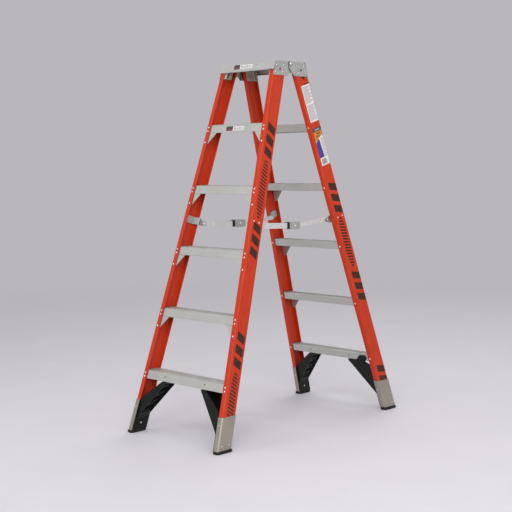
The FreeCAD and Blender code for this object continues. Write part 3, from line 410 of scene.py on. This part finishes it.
looks = {
    "fibreglass": fibreglass(),
    "aluminium": drawn_aluminium("step_aluminium", "x", linear(203, 204, 198),
                                 linear(184, 185, 179)),
    "boot_aluminium": drawn_aluminium("boot_aluminium", "s", linear(174, 167, 155),
                                      linear(152, 145, 135), (0.38, 0.52), 0.4 * MM),
    "zinc_steel": zinc_plate("zinc_steel", linear(190, 192, 187), linear(160, 162, 158)),
    "link_steel": zinc_plate("link_steel", linear(228, 227, 225), linear(206, 205, 203)),
    "rivet_metal": rivet_head("rivet_metal"),
    "black_plastic": moulded_plastic(),
    "rubber": rubber(),
}
ink = printed("rail_ink", linear(50, 30, 20), linear(70, 38, 26))
white = printed("label_white", linear(222, 220, 216), linear(206, 203, 200), flecks=0.05)
grey_mark = printed("label_grey", linear(138, 136, 138), linear(164, 162, 164))
dark_mark = printed("label_dark", linear(52, 50, 58), linear(84, 80, 86))
ochre = printed("label_ochre", linear(200, 132, 44), linear(182, 116, 40))
blue = printed("label_blue", linear(50, 48, 124), linear(78, 74, 146))
red_mark = printed("label_red", linear(152, 76, 80), linear(134, 66, 72))

# pieces that share a slot with others, but not its finish
BETWEEN_BOOT_AND_STEP = 0.2
own_looks = {
    "top_brackets": cast_bracket(),
    # rivets above the boot are painted dark, as painted shade
    "foot_rivets": rivet_head("foot_rivet_metal", painted_shade_above=BETWEEN_BOOT_AND_STEP),
}

for part in frame["record"]["subparts"]:
    kind = part["node"].partition("_")[2]
    materials = nodes[part["node"]].data.materials
    materials.clear()
    materials.append(own_looks.get(kind, looks[part["material_slot"]]))

# ---- printing on the rails ------------------------------------------------------------------
STRIPE_HEIGHT = 37 * MM
STRIPE_PITCH = 57.5 * MM
STRIPE_FALL = 21 * MM
STRIPE_CORNER = 2 * MM
HATCH_HALF_WIDTH = 20 * MM
HATCH_PITCH = 15.5 * MM
HATCH_THICKNESS = 8.5 * MM
HATCH_SKEW = 7 * MM
HATCH_CORNER = 1.5 * MM
CLEAR_OF_BOOT = 1 * MM


def stripe_group(near, far, top, count, falls_inwards):
    """Slanted bars across a web between two depths, one under the other."""
    bars = []
    for i in range(count):
        high = top - i * STRIPE_PITCH
        low = high - STRIPE_FALL
        near_top, far_top = (high, low) if falls_inwards else (low, high)
        bars.append(rounded([
            (near, near_top),
            (far, far_top),
            (far, far_top - STRIPE_HEIGHT),
            (near, near_top - STRIPE_HEIGHT),
        ], STRIPE_CORNER))
    return bars


def hatched_band(middle, low, high, falls_inwards):
    """A row of plain slanted bars that get shorter towards both ends."""
    skew = HATCH_SKEW if falls_inwards else -HATCH_SKEW
    half_thickness = HATCH_THICKNESS / 2
    count = int((high - low) / HATCH_PITCH)
    start = (low + high - (count - 1) * HATCH_PITCH) / 2
    shapes = []
    for i in range(count):
        share = (i + 0.5) / count * 2 - 1
        reach = HATCH_HALF_WIDTH * (1 - share ** 4) ** 0.5
        s = start + i * HATCH_PITCH
        tilt = skew * reach / HATCH_HALF_WIDTH
        shapes.append(rounded([
            (middle - reach, s + tilt - half_thickness),
            (middle + reach, s - tilt - half_thickness),
            (middle + reach, s - tilt + half_thickness),
            (middle - reach, s + tilt + half_thickness),
        ], HATCH_CORNER))
    return shapes


def above_boot(point):
    """How far a web's point stands above the boot."""
    u, s = point
    return s * COS - u * SIN - (BOOT_TOP + CLEAR_OF_BOOT)


def front_right_print():
    """Outlines (u, s) of the near rail's print: groups of stripes and two hatched bands."""
    bars = []
    for top in (1.539, 1.064, 0.556):
        bars += stripe_group(17 * MM, 66 * MM, top, 3, True)
    bars += hatched_band(39 * MM, 1.078, 1.358, True)
    return bars + hatched_band(42 * MM, 0.090, 0.373, True)


def rear_right_print():
    """Outlines (u, s) of the far rail's print, with a wedge and a dash at its top."""
    bars = [[(19 * MM, 1.775), (46 * MM, 1.775), (36 * MM, 1.755), (28 * MM, 1.755)]]
    bars += [[(8 * MM, 1.738), (40 * MM, 1.738), (40 * MM, 1.734), (8 * MM, 1.734)]]
    for top, count in ((1.246, 3), (0.779, 3), (0.266, 2)):
        bars += stripe_group(5 * MM, 57 * MM, top, count, False)
    return bars + hatched_band(35 * MM, 0.790, 1.068, False)


for which, side, pattern in (("front", "right", front_right_print),
                             ("rear", "left", front_right_print),
                             ("rear", "right", rear_right_print),
                             ("front", "left", rear_right_print)):
    patches = [(clipped(shape, above_boot), ink, 0) for shape in pattern()]
    piece = films(
        f"rail_print_{which}_{side}", patches,
        lambda u, s, lift, w=which, d=side: on_web(w, d, u, s, lift))
    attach(piece, which + "_frame")


# ---- labels: plain blocks and lines, no words -----------------------------------------------
def block(left, right, top, bottom, radius=0.0):
    """A rectangle's outline, with rounded corners if it has a radius."""
    corners = [(left, top), (right, top), (right, bottom), (left, bottom)]
    return rounded(corners, radius) if radius else corners


def ruled_lines(left, right, top, bottom, count, ink_height=0.45):
    """Rows of plain bars of uneven length."""
    rows = []
    pitch = (bottom - top) / count
    for i in range(count):
        start = top + i * pitch
        end = right - chance.random() * 0.35 * (right - left) * (i % 3 == 2)
        rows.append(block(left, end, start, start + pitch * ink_height))
    return rows


def web_label(name, which, side, u_left, u_right, s_top, s_bottom, patches):
    """A label on a web. Its own coordinates run from 0 to 1, rightwards and down."""
    def place(a, b, lift):
        u = u_left + (u_right - u_left) * a
        s = s_top + (s_bottom - s_top) * b
        return on_web(which, side, u, s, lift)
    piece = films(name, patches, place)
    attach(piece, which + "_frame")


LABEL_EDGES = (64 * MM, 5 * MM)    # depths of a rail label's left and right edges

upper = [(block(0, 1, 0, 1, 0.03), white, 0)]
upper += [(shape, grey_mark, 1) for shape in ruled_lines(0.08, 0.92, 0.04, 0.50, 15, 0.5)]
upper += [(shape, grey_mark, 1) for shape in ruled_lines(0.08, 0.92, 0.54, 0.96, 13, 0.5)]
web_label("rail_label_upper", "rear", "right", *LABEL_EDGES, 1.731, 1.549, upper)

lower = [(block(0, 1, 0.03, 1, 0.03), white, 0)]
lower += [(block(-0.02, 1.02, 0.0, 0.10, 0.05), dark_mark, 2)]
lower += [(block(0.22, 0.78, 0.035, 0.07, 0.02), grey_mark, 3)]
lower += [([(0.0, 0.10), (1.0, 0.10), (1.0, 0.21), (0.45, 0.29), (0.0, 0.36)], ochre, 1)]
lower += [(block(0.3, 0.8, 0.14, 0.17), dark_mark, 2), (block(0.2, 0.6, 0.21, 0.24), dark_mark, 2)]
lower += [([(0.0, 0.38), (0.36, 0.30), (0.48, 0.32), (0.58, 0.79), (0.0, 0.79)], blue, 1)]
lower += [(shape, grey_mark, 1) for shape in ruled_lines(0.64, 0.94, 0.30, 0.80, 11, 0.5)]
lower += [(block(0.14, 0.72, 0.83, 0.97), grey_mark, 1)]
web_label("rail_label_lower", "rear", "right", *LABEL_EDGES, 1.519, 1.331, lower)


def face_label(name, depth, left, right, top, bottom, patches):
    """A label on the front frame's climbing side, in coordinates from 0 to 1."""
    def place(a, b, lift):
        return on_face("front", depth, left + (right - left) * a, top + (bottom - top) * b, lift)
    piece = films(name, patches, place)
    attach(piece, "front_frame")


def strip_label(dark_share):
    """A light strip with a row of blocks, behind a dark block with a red band."""
    marks = [(block(dark_share * 0.9, 1.0, 0.06, 0.94, 0.02), white, 0)]
    marks += [(block(0.0, dark_share, 0.0, 1.0, 0.08), dark_mark, 1)]
    marks += [(block(0.0, dark_share, 0.66, 0.86), red_mark, 2)]
    for i in range(4):
        start = dark_share + 0.06 + i * 0.14
        marks.append((block(start, start + 0.09, 0.34 + 0.05 * (i % 2), 0.52), dark_mark, 1))
    marks.append((block(dark_share + 0.06, 0.9, 0.66, 0.74), grey_mark, 1))
    return marks


APRON_FACE = -7 * MM
STEP_FACE = 5.05 * MM
STEP_5_TOP = (5 * STEP_PITCH * COS + 3 * MM) / COS
face_label("apron_label", APRON_FACE, -0.086, 0.040, 1.823, 1.801, strip_label(0.32))
face_label("step_label", STEP_FACE, -0.066, 0.054, STEP_5_TOP - 9 * MM, STEP_5_TOP - 31 * MM,
           strip_label(0.38))

# ---- floor, light and camera ----------------------------------------------------------------
WORLD_TONE = linear(226, 223, 229)
WORLD_STRENGTH = 0.64
FLOOR_RINGS = [0.4 * 1.35 ** i for i in range(13)]
FLOOR_SPOKES = 64
FADE_START = 1.6
FADE_END = 6.5


def floor():
    """A wide pale disc that fades into the surroundings."""
    mesh = bpy.data.meshes.new("floor")
    made = bmesh.new()
    centre = made.verts.new((0, 0, 0))
    before = None
    for radius in FLOOR_RINGS:
        ring = []
        for k in range(FLOOR_SPOKES):
            angle = 2 * math.pi * k / FLOOR_SPOKES
            ring.append(made.verts.new((radius * math.cos(angle), radius * math.sin(angle), 0)))
        for k in range(FLOOR_SPOKES):
            if before:
                made.faces.new((before[k - 1], before[k], ring[k], ring[k - 1])[::-1])
            else:
                made.faces.new((centre, ring[k - 1], ring[k]))
        before = ring
    made.to_mesh(mesh)
    made.free()
    for polygon in mesh.polygons:
        if polygon.normal.z < 0:
            polygon.flip()
    disc = bpy.data.objects.new("floor", mesh)
    bpy.context.scene.collection.objects.link(disc)
    f = Finish("floor_paint", specular=0.25)
    soft = f.noise(f.place, scale=3, detail=4)
    f.finish(f.blend(soft, linear(202, 200, 204), linear(210, 208, 212)), 0.75)
    f.bump(f.noise(f.place, scale=300, detail=2), 0.1 * MM, 0.2)
    clear = f.node("ShaderNodeBsdfTransparent")
    mix = f.node("ShaderNodeMixShader")
    distance = f.node("ShaderNodeVectorMath", operation="LENGTH")
    f.feed(distance.inputs[0], f.place)
    f.feed(mix.inputs[0], f.level(distance.outputs["Value"], FADE_START, FADE_END))
    f.feed(mix.inputs[1], f.shader.outputs[0])
    f.feed(mix.inputs[2], clear.outputs[0])
    f.feed(f.tree.nodes["Material Output"].inputs[0], mix.outputs[0])
    mesh.materials.append(f.material)
    return disc


floor()

world = bpy.data.worlds.new("studio")
bpy.context.scene.world = world
world.use_nodes = True
sky = world.node_tree.nodes["Background"]
sky.inputs["Color"].default_value = WORLD_TONE
sky.inputs["Strength"].default_value = WORLD_STRENGTH

LIGHT_AIM = Vector((0, 0, 0.9))


def soft_light(name, azimuth, elevation, distance, size, power):
    """A square area light that looks at the ladder. Azimuth 0 is straight in front."""
    data = bpy.data.lights.new(name, "AREA")
    data.shape = "SQUARE"
    data.size = size
    data.energy = power
    light = bpy.data.objects.new(name, data)
    a, e = math.radians(azimuth), math.radians(elevation)
    back = Vector((math.sin(a) * math.cos(e), -math.cos(a) * math.cos(e), math.sin(e)))
    light.location = LIGHT_AIM + back * distance
    light.rotation_euler = back.to_track_quat("Z", "Y").to_euler()
    bpy.context.scene.collection.objects.link(light)


soft_light("key", 42, 28, 6.4, 4.6, 252)
soft_light("side", 96, 20, 6.0, 3.3, 71)
soft_light("front", -16, 24, 6.0, 3.3, 60)
soft_light("back", 198, 42, 6.0, 4.0, 92)
soft_light("overhead", 0, 88, 4.4, 2.6, 36)

CAMERA_AZIMUTH = math.radians(44.876)
CAMERA_ELEVATION = math.radians(4.879)
CAMERA_ROLL = math.radians(-0.711)
CAMERA_AIM = Vector((-0.06584, 0.0, 0.81433))
CAMERA_DISTANCE = 5.4655
CAMERA_LENS = 77.36
CAMERA_SENSOR = 36.0
CAMERA_REACH = 200.0


def add_camera():
    """The camera on its orbit round the aim, rolled a little."""
    data = bpy.data.cameras.new("camera")
    data.lens = CAMERA_LENS
    data.sensor_width = CAMERA_SENSOR
    data.clip_end = CAMERA_REACH
    camera = bpy.data.objects.new("camera", data)
    flat = math.cos(CAMERA_ELEVATION)
    back = Vector((math.sin(CAMERA_AZIMUTH) * flat, -math.cos(CAMERA_AZIMUTH) * flat,
                   math.sin(CAMERA_ELEVATION)))
    right = Vector((0, 0, 1)).cross(back).normalized()
    up = back.cross(right)
    rolled_right = right * math.cos(CAMERA_ROLL) + up * math.sin(CAMERA_ROLL)
    rolled_up = up * math.cos(CAMERA_ROLL) - right * math.sin(CAMERA_ROLL)
    columns = (rolled_right, rolled_up, back)
    rows = [[column[i] for column in columns] for i in range(3)]
    camera.rotation_euler = Matrix(rows).to_euler()
    camera.location = CAMERA_AIM + back * CAMERA_DISTANCE
    bpy.context.scene.collection.objects.link(camera)
    bpy.context.scene.camera = camera


add_camera()
bpy.context.scene.view_settings.view_transform = "Standard"
bpy.context.scene.view_settings.look = "None"
